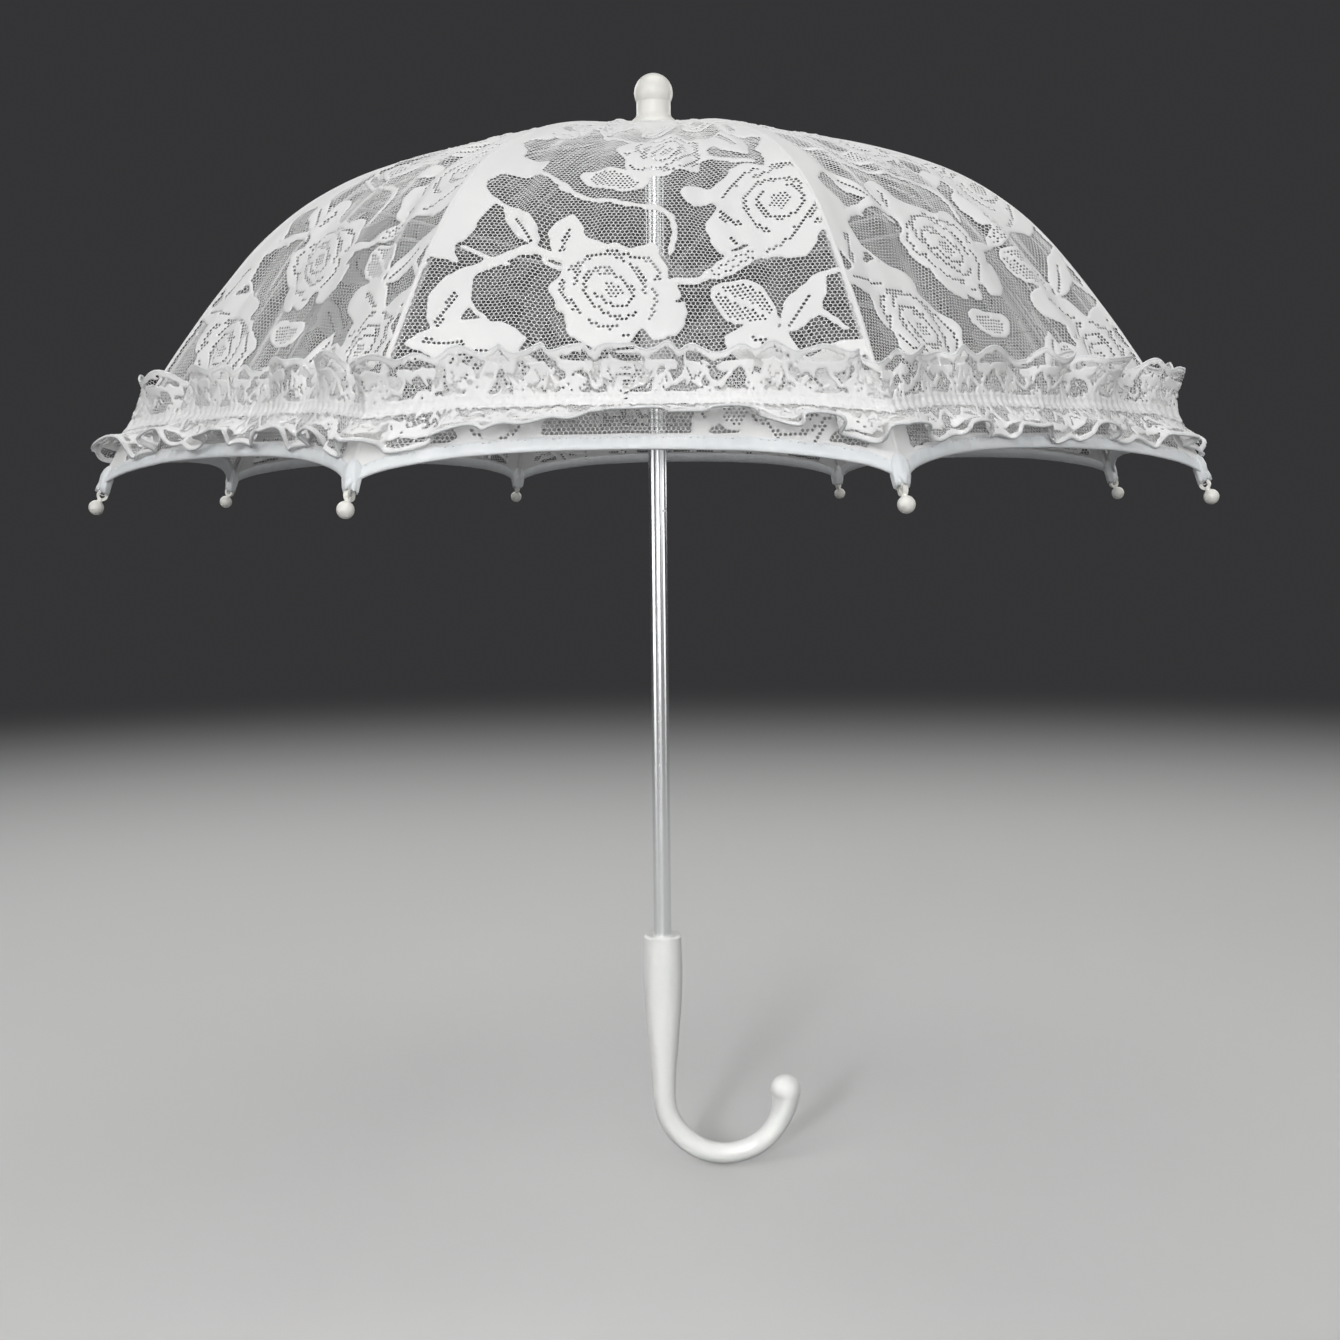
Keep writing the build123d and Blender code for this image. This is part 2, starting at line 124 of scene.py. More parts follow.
# ---- surface of the canopy ---------------------------------------------------------------------
def rib_at(distance):
    """Radius, height and slope of the rib's centre line at distances from the hinge."""
    distance = np.asarray(distance, float)
    lead = np.minimum(distance, RIB_LEAD)
    radius = HINGE_RADIUS + lead * math.cos(RIB_RISE)
    height = HINGE_HEIGHT + lead * math.sin(RIB_RISE)
    slope = np.full_like(distance, RIB_RISE)
    start, angle = RIB_LEAD, RIB_RISE
    for index, (bend, turn) in enumerate(RIB_ARCS):
        length = bend * math.radians(turn)
        longest = length if index < len(RIB_ARCS) - 1 else np.inf
        along = np.clip(distance - start, 0, longest)
        end_angle = angle - along / bend
        radius = radius + bend * (math.sin(angle) - np.sin(end_angle))
        height = height + bend * (np.cos(end_angle) - math.cos(angle))
        slope = slope - along / bend
        start += length
        angle -= length / bend
    return radius, height, slope


def fabric(distance, share, lift=0.0):
    """Cloth in its rib's own frame: across from the rib (0) to the gore's centre line (1)."""
    radius, height, slope = rib_at(distance)
    out_r, out_z = -np.sin(slope), np.cos(slope)
    base_r = radius + out_r * FABRIC_LIFT
    base_z = height + out_z * FABRIC_LIFT
    chord = math.sin(HALF_GORE) ** 2

    def drop(part):
        """Depth of the cloth under the round of the ribs; inwards is negative."""
        return -base_r * out_r * (chord * part + EXTRA_SAG * part * (2 - part))

    half_width = (base_r + drop(1.0) * out_r) * math.tan(HALF_GORE)
    depth = drop(share) + lift
    return np.stack([base_r + depth * out_r, half_width * share, base_z + depth * out_z], -1)


def half_width(distance):
    """Flat distance from a gore's centre line to its rib."""
    distance = np.asarray(distance, float)
    side = fabric(distance, np.zeros_like(distance))
    middle = fabric(distance, np.ones_like(distance))
    return np.linalg.norm(middle - side, axis=-1)


def hem_arch(share):
    """Distance along the rib of an arch from tip to tip."""
    share = np.clip(share, 0, 1)
    return RIB_LENGTH - CORNER_BACK - HEM_LEVEL * share - HEM_SCALLOP * (1 - (1 - share) ** 3)


def hem_at(share):
    """Distance along the rib at which the cloth ends: the arch, drawn out into a point at each tip."""
    return hem_arch(share) + CORNER_PULL * np.exp(-np.clip(share, 0, 1) / CORNER_REACH)


def rib_distance(across, along):
    """Distance along the rib of cloth that lies this far down the gore.

    The cloth's rows hang level between two ribs, so between them a row lies higher up the rib's own curve.
    """
    along = np.asarray(along, float)
    distance = along
    for _ in range(8):
        slope = rib_at(distance)[2]
        from_rib = np.clip(half_width(distance) - np.abs(across), 0, None)
        distance = along - math.tan(HALF_GORE) * from_rib * np.cos(slope)
    return np.clip(distance, 0.5, None)


def turned(points, degrees):
    """Points turned about the parasol's axis."""
    c, s = math.cos(math.radians(degrees)), math.sin(math.radians(degrees))
    x = points[..., 0] * c - points[..., 1] * s
    y = points[..., 0] * s + points[..., 1] * c
    return np.stack([x, y, points[..., 2]], -1)


def rib_azimuth(number):
    """Direction of a rib about the axis, in degrees."""
    return FIRST_AZIMUTH + STEP_AZIMUTH * (number - 1)


def folds(across, along, gore):
    """Small drawn folds in the cloth: none on a seam, and hardly any in the taut hem."""
    width = half_width(along)
    share = np.clip(1 - np.abs(across) / width, 0, 1)
    off_seam = share * (1 - share) * 4
    fan = across / width
    phase = 1.7 * gore
    low = np.sin(5.2 * fan * math.pi + 0.018 * along + phase)
    mid = np.sin(9.0 * fan * math.pi - 0.03 * along + 2.1 * phase)
    ripple = np.sin(0.11 * along + 4 * fan + phase) * np.sin(7 * fan + 0.6 * phase)
    size = np.clip(along / 120, 0.15, 1.0) * np.clip((hem_arch(share) - along) / 45, 0.1, 1.0)
    return off_seam * size * (0.9 * low + 0.5 * mid + 0.6 * ripple)


def on_gore(across, along, gore, lift=0.0):
    """Flat gore coordinates (right of its centre line, down from the crown) to the part's frame.

    Gore g lies between rib g and rib g + 1.
    """
    width = half_width(along)
    share = np.clip(1 - np.abs(across) / width, 0, 1)
    height = lift + folds(across, along, gore)
    spot = fabric(along, share, height)
    spot[..., 1] *= -1
    spot = turned(spot, STEP_AZIMUTH / 2)
    spot[..., 1] *= np.where(across < 0, -1, 1)
    return turned(spot, rib_azimuth(gore) + STEP_AZIMUTH / 2)


# ---- meshes ------------------------------------------------------------------------------------
def new_piece(name, points, faces, material, smooth=True):
    """Mesh object from points in millimetres and a list of face index arrays."""
    mesh = bpy.data.meshes.new(name)
    polygons = [face for group in faces for face in np.asarray(group).tolist()]
    mesh.from_pydata((np.asarray(points) * MM).tolist(), [], polygons)
    mesh.validate()
    mesh.materials.append(material)
    mesh.polygons.foreach_set("use_smooth", [smooth] * len(mesh.polygons))
    mesh.update()
    piece = bpy.data.objects.new(name, mesh)
    bpy.context.scene.collection.objects.link(piece)
    return piece


def grid_faces(rows, columns, closed=False):
    """Quads of a grid of points stored row by row; closed joins the last column to the first."""
    row = np.arange(rows - 1)[:, None]
    last = columns if closed else columns - 1
    column = np.arange(last)[None, :]
    after = (column + 1) % columns
    a = row * columns + column
    b = row * columns + after
    return np.stack([a, b, b + columns, a + columns], -1).reshape(-1, 4)


def joined(parts):
    """Points and faces of several meshes as one."""
    points, faces, count = [], [], 0
    for part_points, part_faces in parts:
        points.append(part_points)
        faces.extend(np.asarray(group) + count for group in part_faces)
        count += len(part_points)
    return np.concatenate(points), faces


# ---- hexagonal net -----------------------------------------------------------------------------
KEY_STRIDE = 1_000_003


def hexagon_centres(low_a, high_a, low_b, high_b, pitch):
    """Centres of a honeycomb over a rectangle, with rows across."""
    step_b = pitch * math.sqrt(3) / 2
    rows = np.arange(math.floor(low_b / step_b), math.ceil(high_b / step_b) + 1)
    columns = np.arange(math.floor(low_a / pitch), math.ceil(high_a / pitch) + 1)
    row, column = np.meshgrid(rows, columns, indexing="ij")
    return np.stack([(column + 0.5 * (row % 2)) * pitch, row * step_b], -1).reshape(-1, 2)


def smooth_outline(points, cells, worked):
    """Draws the outline of the worked figure smooth, where it would step from cell to cell."""
    sides = np.stack([cells, np.roll(cells, -1, 1)], -1).reshape(-1, 2)
    sides.sort(1)
    code = sides[:, 0] * len(points) + sides[:, 1]
    _, first, side_of = np.unique(code, return_index=True, return_inverse=True)
    beside = np.bincount(side_of)
    beside_worked = np.bincount(side_of, np.repeat(worked.astype(float), 6))
    outline = sides[first][(beside == 2) & (beside_worked == 1)]
    free = np.bincount(outline.ravel(), minlength=len(points)) == 2
    points = points.copy()
    for _ in range(OUTLINE_ROUNDS):
        total = np.zeros_like(points)
        np.add.at(total, outline[:, 0], points[outline[:, 1]])
        np.add.at(total, outline[:, 1], points[outline[:, 0]])
        points[free] = 0.5 * points[free] + 0.25 * total[free]
    return points


def shared_corners(centres, pitch):
    """Corner points that the cells of a honeycomb share, and each cell's six corners by number."""
    corners = np.radians(60 * np.arange(6) + 30)
    ring = np.stack([np.cos(corners), np.sin(corners)], -1) * pitch / math.sqrt(3)
    outer = (centres[:, None, :] + ring[None]).reshape(-1, 2)
    keys = np.round(outer / (pitch / 12)).astype(np.int64)
    code = keys[:, 0] * KEY_STRIDE + keys[:, 1]
    _, first, index = np.unique(code, return_index=True, return_inverse=True)
    return outer[first], index.reshape(-1, 6)


def net(centres, hole, pitch):
    """Flat net over the cells at centres. hole is each cell's opening, 0 where it is worked solid.

    Cells that open less than GROUND_FROM belong to a worked figure, and its outline is drawn smooth.
    Returns flat points, their height, quads of the open cells and triangles of the solid ones.
    """
    shared, index = shared_corners(centres, pitch)
    shared = smooth_outline(shared, index, hole < GROUND_FROM)
    solid = hole <= 0
    filled = np.zeros(len(shared))
    touched = np.zeros(len(shared))
    np.add.at(filled, index.ravel(), np.repeat(solid.astype(float), 6))
    np.add.at(touched, index.ravel(), 1.0)
    shared_height = MOTIF_RISE * filled / touched
    rim, worked = index[~solid], index[solid]
    middle = shared[rim].mean(1, keepdims=True)
    inner = middle + (shared[rim] - middle) * hole[~solid][:, None, None]
    inner_height = shared_height[rim] - THREAD_DROP
    hubs = shared[worked].mean(1)
    hub_height = np.full(len(hubs), MOTIF_RISE + HUB_RISE)
    points = np.concatenate([shared, inner.reshape(-1, 2), hubs])
    height = np.concatenate([shared_height, inner_height.ravel(), hub_height])
    after = np.roll(np.arange(6), -1)
    inner_index = len(shared) + np.arange(rim.size).reshape(-1, 6)
    quads = np.stack([rim, rim[:, after], inner_index[:, after], inner_index], -1).reshape(-1, 4)
    hub_index = len(shared) + rim.size + np.arange(len(hubs))
    hub = np.repeat(hub_index[:, None], 6, 1)
    triangles = np.stack([worked, worked[:, after], hub], -1).reshape(-1, 3)
    return points, height, quads, triangles


# ---- lace design of a gore, in flat millimetres ------------------------------------------------
# Roses: centre across, centre down, radius, turn. Leaves: foot, point, half width, slit.
ROSES = (
    (-6.0, 197.0, 22.0, 0.3), (55.0, 168.0, 27.0, 1.4), (12.0, 124.0, 18.0, 2.2),
    (-46.0, 247.0, 21.0, 0.9), (-16.0, 84.0, 13.0, 0.2), (60.0, 257.0, 19.0, 2.9),
    (8.0, 42.0, 9.0, 1.1),
)
LEAVES = (
    ((-69.0, 228.0), (-57.5, 198.0), 6.6, "slit"), ((55.0, 227.0), (69.5, 207.0), 6.6, "slit"),
    ((-34.5, 184.0), (-48.0, 165.0), 5.0, "slit"), ((-26.5, 185.0), (-21.0, 164.5), 6.6, "slit"),
    ((34.0, 224.0), (63.0, 240.0), 8.0, "vein"), ((-36.0, 224.0), (-78.0, 236.0), 8.5, "vein"),
    ((30.0, 201.0), (53.0, 224.0), 7.4, "open"), ((27.0, 196.0), (50.0, 191.0), 4.4, "open"),
    ((84.0, 240.0), (56.0, 246.0), 6.0, "vein"), ((-56.5, 146.0), (-33.0, 136.0), 7.0, "solid"),
    ((-50.0, 140.0), (-48.0, 122.0), 5.5, "solid"), ((30.0, 110.0), (44.0, 136.0), 6.0, "slit"),
    ((-26.0, 112.0), (-34.0, 92.0), 5.0, "slit"), ((2.0, 104.0), (14.0, 88.0), 5.0, "open"),
    ((14.0, 80.0), (24.0, 60.0), 4.5, "solid"), ((-6.0, 66.0), (-14.0, 48.0), 4.0, "slit"),
    ((8.0, 219.0), (20.0, 206.0), 7.0, "solid"), ((-22.0, 212.0), (-8.0, 222.0), 5.5, "solid"),
    ((30.0, 158.0), (17.0, 153.0), 5.5, "solid"), ((24.0, 262.0), (34.0, 240.0), 5.0, "vein"),
)
STEMS = (
    ((-57.0, 200.0), (-50.0, 194.0), (-42.6, 189.0), (-34.0, 185.0), (-26.0, 185.5), (-14.0, 189.0)),
    ((16.0, 196.0), (24.0, 198.5), (31.0, 196.0), (36.0, 190.0)),
    ((14.0, 184.0), (17.0, 172.0), (12.0, 160.0), (-2.0, 154.0), (-14.0, 156.0), (-28.0, 152.0)),
    ((-24.0, 151.0), (-33.0, 146.0), (-40.0, 142.0)),
    ((26.0, 132.0), (36.0, 138.0), (46.0, 142.0)),
    ((-16.0, 96.0), (-12.0, 106.0), (0.0, 112.0)),
    ((-4.0, 76.0), (2.0, 64.0), (6.0, 52.0)),
    ((76.0, 186.0), (78.0, 205.0), (72.0, 208.0)),
)
STEM_WIDTHS = (3.4, 3.0, 2.2, 2.6, 2.4, 2.2, 2.0, 1.8)
LOOPS = (
    (-7.5, 142.0, 14.0, 6.8), (-2.0, 232.0, 12.0, 6.0),
    (24.0, 92.0, 7.5, 4.5), (38.0, 254.0, 6.0, 8.0),
)
LOOP_BAND = 2.0
VEIL_LINES = (
    ((-62.0, 190.0), (-44.0, 194.5)), ((-56.0, 162.0), (-45.0, 168.0)), ((-32.0, 189.0), (-20.0, 193.0)),
    ((66.0, 207.5), (79.0, 206.0)), ((60.0, 214.0), (76.0, 232.0)), ((-58.0, 214.0), (-48.0, 222.0)),
)
NEXT_CUT_SHIFT = -24.0


def rounded(path, rounds=2):
    """The path with its corners cut, so that it bends like a drawn line."""
    points = np.array(path)
    for _ in range(rounds):
        early = 0.75 * points[:-1] + 0.25 * points[1:]
        late = 0.25 * points[:-1] + 0.75 * points[1:]
        cut = np.stack([early, late], 1).reshape(-1, 2)
        points = np.concatenate([points[:1], cut, points[-1:]])
    return points


def near_path(a, b, path):
    """Distance of each point from a path of straight runs."""
    best = np.full(a.shape, np.inf)
    for (a0, b0), (a1, b1) in zip(path, path[1:]):
        da, db = a1 - a0, b1 - b0
        share = np.clip(((a - a0) * da + (b - b0) * db) / (da * da + db * db), 0, 1)
        best = np.minimum(best, np.hypot(a - a0 - share * da, b - b0 - share * db))
    return best


# Petal edges inside a rose, for a rose of radius 1: centre, radius, and where the arc runs.
PETALS = (
    (0.0, 0.0, 0.31, -2.7, 2.5), (0.04, 0.05, 0.47, 0.4, 4.3), (-0.04, 0.0, 0.62, 2.7, 6.2),
    (-0.38, 0.12, 0.46, 1.8, 4.3), (0.1, -0.34, 0.5, 3.7, 6.3), (0.34, 0.24, 0.48, -1.0, 1.5),
    (-0.1, 0.4, 0.42, 0.5, 2.9),
)


def work_rose(a, b, hole, rose):
    """Solid bloom with rows of small holes along its petals' edges and an open heart."""
    centre_a, centre_b, size, turn = rose
    x = (a - centre_a) * math.cos(turn) + (b - centre_b) * math.sin(turn)
    y = (b - centre_b) * math.cos(turn) - (a - centre_a) * math.sin(turn)
    angle = np.arctan2(y, x)
    lobed = size * (1 + 0.09 * np.cos(5 * angle) + 0.05 * np.cos(11 * angle + 1))
    reach = np.hypot(x, y) / lobed
    hole[reach < 1] = 0
    hole[reach < 0.15] = CLOSE_HOLE
    for petal_x, petal_y, radius, start, stop in PETALS:
        from_x, from_y = x - petal_x * size, y - petal_y * size
        round_petal = np.arctan2(from_y, from_x)
        swept = np.mod(round_petal - start, 2 * math.pi) < stop - start
        drawn = radius * size * (1 + PETAL_WOBBLE * np.sin(2 * round_petal + 2 * start + turn))
        row = np.abs(np.hypot(from_x, from_y) - drawn) < 0.58 * NET_PITCH
        hole[row & swept & (reach < 0.9)] = DOT_HOLE


def work_leaf(a, b, hole, leaf):
    """Pointed leaf: worked solid with a slit or a dotted vein, or an outline round close net."""
    (a0, b0), (a1, b1), half, kind = leaf
    length = math.hypot(a1 - a0, b1 - b0)
    along = ((a - a0) * (a1 - a0) + (b - b0) * (b1 - b0)) / length ** 2
    side = ((a - a0) * (b1 - b0) - (b - b0) * (a1 - a0)) / length
    inside = np.clip(along, 0, 1)
    edge = half * np.sin(math.pi * inside ** 0.85) ** 0.8
    within = (np.abs(side) < edge) & (along > 0) & (along < 1)
    hole[within] = 0
    thin = 0.62 * NET_PITCH
    if kind == "slit":
        hole[within & (np.abs(side) < thin) & (along > 0.08) & (along < 0.62)] = DOT_HOLE
    if kind == "vein":
        bend = half * 0.2 * np.sin(5 * along)
        row = np.abs(side - bend) < 0.5 * NET_PITCH
        hole[within & row & (along > 0.3) & (along < 0.85)] = DOT_HOLE
    if kind == "open":
        rib = np.abs(side) < 0.45 * NET_PITCH
        hole[within & (np.abs(side) < edge - 1.5) & ~rib] = CLOSE_HOLE


def work_seam_bands(a, b, hole):
    """Wavy solid bands beside both seams above the shoulder of the canopy."""
    width = half_width(b)
    from_seam = width - np.abs(a)
    wave = 2.4 * np.sin(b / 5.2) + 1.6 * np.sin(b / 2.9 + 1)
    upper = np.clip((b - 20) / 120, 0, 1)
    left = (a < 0) & (from_seam < 3.0 + 8.5 * upper + wave) & (b < LEFT_BAND_END)
    right = (a > 0) & (from_seam < 2.5 + 5.0 * upper + wave) & (b < RIGHT_BAND_END)
    hole[left | right] = 0
    hole[from_seam < 1.2] = 0


def work_border(a, b, hole):
    """Narrow solid edging along the hem that fills out towards the corners."""
    width = half_width(b)
    share = np.clip(1 - np.abs(a) / width, 0, 1)
    hole[hem_at(share) - b < BINDING_WIDTH + 1.5] = 0
    hole[(width - np.abs(a) < CORNER_SOLID_WIDTH) & (b > CORNER_SOLID_FROM)] = 0


def gore_design(a, b, shift):
    """Opening of each cell of the net, 0 where the lace is worked solid; shift moves the flowers down."""
    hole = np.full(a.shape, NET_HOLE)
    work_seam_bands(a, b, hole)
    work_border(a, b, hole)
    b = b - shift
    for path in VEIL_LINES:
        hole[near_path(a, b, path) < 0.55 * NET_PITCH] = 0
    for path, width in zip(STEMS, STEM_WIDTHS):
        hole[near_path(a, b, rounded(path)) < width / 2] = 0
    for centre_a, centre_b, long, short in LOOPS:
        reach = np.hypot((a - centre_a) / long, (b - centre_b) / short)
        hole[reach < 1] = 0
        hole[reach < 1 - LOOP_BAND / short] = CLOSE_HOLE
    for leaf in LEAVES:
        work_leaf(a, b, hole, leaf)
    for rose in ROSES:
        work_rose(a, b, hole, rose)
    return hole


def thread_area(hole, pitch):
    """Flat area of worked lace in square metres, its holes left out."""
    return float(np.sum(1 - hole ** 2)) * pitch ** 2 * math.sqrt(3) / 2 * MM ** 2


def gore_net(shift):
    """Flat net of one gore, and its area in square metres."""
    widest = float(half_width(RIB_LENGTH))
    centres = hexagon_centres(-widest, widest, CANOPY_START, RIB_LENGTH, NET_PITCH)
    across = centres[:, 0]
    distance = rib_distance(across, centres[:, 1])
    width = half_width(distance)
    share = np.clip(1 - np.abs(across) / width, 0, 1)
    above_hem = distance < hem_at(share) - 0.5 * BINDING_WIDTH
    inside = (np.abs(across) < width) & (distance > CANOPY_START) & above_hem
    hole = gore_design(across[inside], distance[inside], shift)
    return net(centres[inside], hole, NET_PITCH), thread_area(hole, NET_PITCH)


def half_of(flat, quads, triangles, right):
    """The faces of a flat net on one side of the gore's centre line."""
    chosen = []
    for group in (quads, triangles):
        middle = flat[group].mean(1)[:, 0]
        chosen.append(group[(middle >= 0) == right])
    return chosen


def lace_half(designs, gore, right):
    """One side of one gore as points and faces in the part's frame.

    The gores are cut from two places of the running lace in turn; the front gore is number 8.
    """
    flat, height, quads, triangles = designs[gore % 2]
    groups = half_of(flat, quads, triangles, right)
    used, index = np.unique(np.concatenate([group.ravel() for group in groups]), return_inverse=True)
    split = groups[0].size
    faces = [index[:split].reshape(-1, 4), index[split:].reshape(-1, 3)]
    across = flat[used, 0]
    points = on_gore(across, rib_distance(across, flat[used, 1]), gore, height[used])
    return points, faces


def gore_before(number):
    """The gore on the other side of a rib."""
    return RIB_COUNT if number == 1 else number - 1


def lace_strip(number, designs, material):
    """Lace from one gore's centre line over a rib to the next gore's centre line."""
    left = lace_half(designs, gore_before(number), True)
    right = lace_half(designs, number, False)
    points, faces = joined([left, right])
    return new_piece(f"lace_{number}", points, faces, material)


# ---- hem tape, seams and stitches --------------------------------------------------------------
def strip_spots(number, shares, distances, lift):
    """Points of a strip by signed share: -1 and 1 are its two gores' centre lines, 0 its rib."""
    gores = np.where(shares < 0, gore_before(number), number)
    width = half_width(distances)
    across = np.where(shares < 0, 1, -1) * (1 - np.abs(shares)) * width
    spots = np.empty(shares.shape + (3,))
    for gore in (gore_before(number), number):
        mine = gores == gore
        spots[mine] = on_gore(across[mine], distances[mine], gore, lift[mine])
    return spots


# Section of the tape: place from its inner edge (0) to the fold (1), and lift off the cloth.
TAPE_SECTION = (
    (0.0, 0.25), (0.06, 0.72), (0.2, 0.68), (0.35, 0.85), (0.7, 0.95),
    (0.95, 0.7), (1.0, 0.0), (0.9, -0.6), (0.4, -0.7), (0.05, -0.35),
)


def hem_tape(number, material):
    """Satin binding folded over the hem, puckered a little by its stitching."""
    along = np.linspace(-1, 1, 181)
    places, lifts = np.array(TAPE_SECTION).T
    share = np.repeat(along[:, None], len(places), 1)
    distance = hem_at(np.abs(share)) - BINDING_WIDTH * (1 - places)
    pucker = 0.14 * np.sin(share * 118) + 0.1 * np.sin(share * 47 + number)
    lift = lifts + 0.4 + pucker * (places < 0.8)
    points = strip_spots(number, share, distance, lift).reshape(-1, 3)
    faces = [grid_faces(len(along), len(places), closed=True)[:, ::-1]]
    return new_piece(f"hem_tape_{number}", points, faces, material)


def stitch_row(number, material):
    """Run of small stitches along the inner edge of the hem tape."""
    length = 2 * float(half_width(RIB_LENGTH - 30))
    count = int(length / STITCH_PITCH)
    centres = (np.arange(count) + 0.5) / count * 2 - 1
    half = 0.36 * STITCH_PITCH / (length / 2)
    ends = [(-half, 0, 0.75), (half, 0, 0.75)]
    offsets = np.array(ends + [(0, -0.3, 1.0), (0, 0.3, 1.0), (0, 0, 1.45), (0, 0, 0.7)])
    share = np.clip(centres[:, None] + offsets[None, :, 0], -1, 1)
    distance = hem_at(np.abs(share)) - 0.8 * BINDING_WIDTH + offsets[None, :, 1]
    lift = np.broadcast_to(offsets[None, :, 2], share.shape)
    points = strip_spots(number, share, distance, lift).reshape(-1, 3)
    one = np.array([(0, 2, 4), (2, 1, 4), (1, 3, 4), (3, 0, 4), (2, 0, 5), (1, 2, 5), (3, 1, 5), (0, 3, 5)])
    faces = [(one[None] + 6 * np.arange(count)[:, None, None]).reshape(-1, 3)[:, ::-1]]
    return new_piece(f"hem_stitches_{number}", points, faces, material)


def rib_seam(number, material):
    """Felled seam over a rib, from under the crown cap to the corner at the tip."""
    along = np.arange(CANOPY_START, RIB_LENGTH + 0.5, 1.1)
    offsets = np.array([-1.2, -0.9, -0.4, 0.0, 0.4, 0.9, 1.2])
    lifts = np.array([-0.1, 0.15, 0.34, 0.2, 0.34, 0.15, -0.1])
    distance = np.repeat(along[:, None], len(offsets), 1)
    taper = np.clip((along + 10) / 60, 0.35, 1)[:, None]
    drift = 0.25 * np.sin(along / 9.0 + number)[:, None]
    side = offsets[None] * taper + drift
    share = side / half_width(distance)
    pucker = 0.12 * np.sin(distance / 0.55 + 2 * np.sign(side))
    lift = lifts[None] * (0.75 + 0.25 * taper) + MOTIF_RISE + pucker * (np.abs(offsets) > 0.6)[None]
    points = strip_spots(number, share, distance, lift).reshape(-1, 3)
    return new_piece(f"rib_seam_{number}", points, [grid_faces(*side.shape)[:, ::-1]], material)


# ---- ruffle ------------------------------------------------------------------------------------
def wave_phase(turn, waves, seeds):
    """Phase of the gathers round the whole canopy; turn counts gores, and 8 closes the round."""
    round_angle = 2 * math.pi * turn / RIB_COUNT
    phase = 2 * math.pi * waves * turn
    for count, size, start in seeds:
        phase = phase + size * np.sin(count * round_angle + start)
    return phase


# Waves of each flounce in a gore, and what makes them uneven: count round the canopy, size, start.
UPPER_WAVES = (4, ((5, 1.2, 0.4), (13, 0.9, 2.0), (21, 0.5, 1.0)))
LOWER_WAVES = (5, ((7, 1.3, 1.1), (11, 0.8, 0.3), (23, 0.5, 2.6)))
UPPER_LEAN, UPPER_SWING = math.radians(21), math.radians(21)
LOWER_LEAN, LOWER_SWING, LOWER_SPREAD = math.radians(15), math.radians(19), math.radians(28)
LEAST_LEAN = math.radians(5)
CALM_GORE = 8.5
CALM_SHARE = 0.8
CALM_REACH = 0.42
UPPER_LOOP, LOWER_LOOP = 0.012, 0.013


def calm(turn):
    """1 over the middle of the front gore, where the ruffle lies calm, and 0 beyond it."""
    away = turn - CALM_GORE - RIB_COUNT * np.round((turn - CALM_GORE) / RIB_COUNT)
    return np.exp(-(away / CALM_REACH) ** 4)


def over_gores(gore, place, distance, lift):
    """Points over the cloth, by gore and by place across it from one rib (0) to the next (1)."""
    across = (2 * place - 1) * half_width(distance)
    spots = np.empty(place.shape + (3,))
    for number in np.unique(gore):
        mine = gore == number
        spots[mine] = on_gore(across[mine], distance[mine], (number - 1) % RIB_COUNT + 1, lift[mine])
    return spots


def ruffle_spot(turn, out):
    """Ruffle by gores round the canopy and flat distance from its stitched line (down positive).

    Each flounce leans off the canopy by an angle that swings in waves round the canopy.
    """
    gore = np.floor(turn).astype(int)
    place = turn - gore
    reach = np.abs(out)
    edge = np.clip(reach / TRIM_HALF, 0, 1.1)
    upper = out < 0
    phase = np.where(upper, wave_phase(turn, *UPPER_WAVES), wave_phase(turn, *LOWER_WAVES))
    slow = np.sin(2 * math.pi * turn * 5 / RIB_COUNT + 0.8)
    middle = 1 - np.abs(2 * place - 1) ** 2
    still = calm(turn)
    loose = 1 - CALM_SHARE * still
    swing = loose * (0.8 + 0.3 * np.sin(2 * math.pi * turn * 9 / RIB_COUNT + 2.0)) * np.sin(phase)
    upper_lean = UPPER_LEAN + UPPER_SWING * swing + 0.10 * slow
    lower_lean = LOWER_LEAN + LOWER_SPREAD * middle * still + LOWER_SWING * swing - 0.12 * slow
    lean = np.where(upper, upper_lean, lower_lean)
    lean = np.maximum(lean, LEAST_LEAN) * np.clip(0.45 + 0.8 * edge, 0, 1.1)
    gather = 0.3 * np.exp(-reach / 4.5) * np.sin(2 * math.pi * turn * GATHERS + 2 * slow)
    curl = 1.0 * loose * edge ** 3 * np.sin(3 * phase + 1.0)
    lift = 1.3 + reach * np.sin(lean) + gather + curl
    run = np.where(upper, -1, 1) * reach * np.cos(lean)
    place = place - np.where(upper, UPPER_LOOP, LOWER_LOOP) * edge * np.sin(2 * phase)
    share = np.clip(1 - np.abs(2 * place - 1), 0, 1)
    distance = hem_arch(share) - TRIM_STITCH - TRIM_RISE * (1 - share) ** 2 + run
    return over_gores(gore, place, distance, lift)


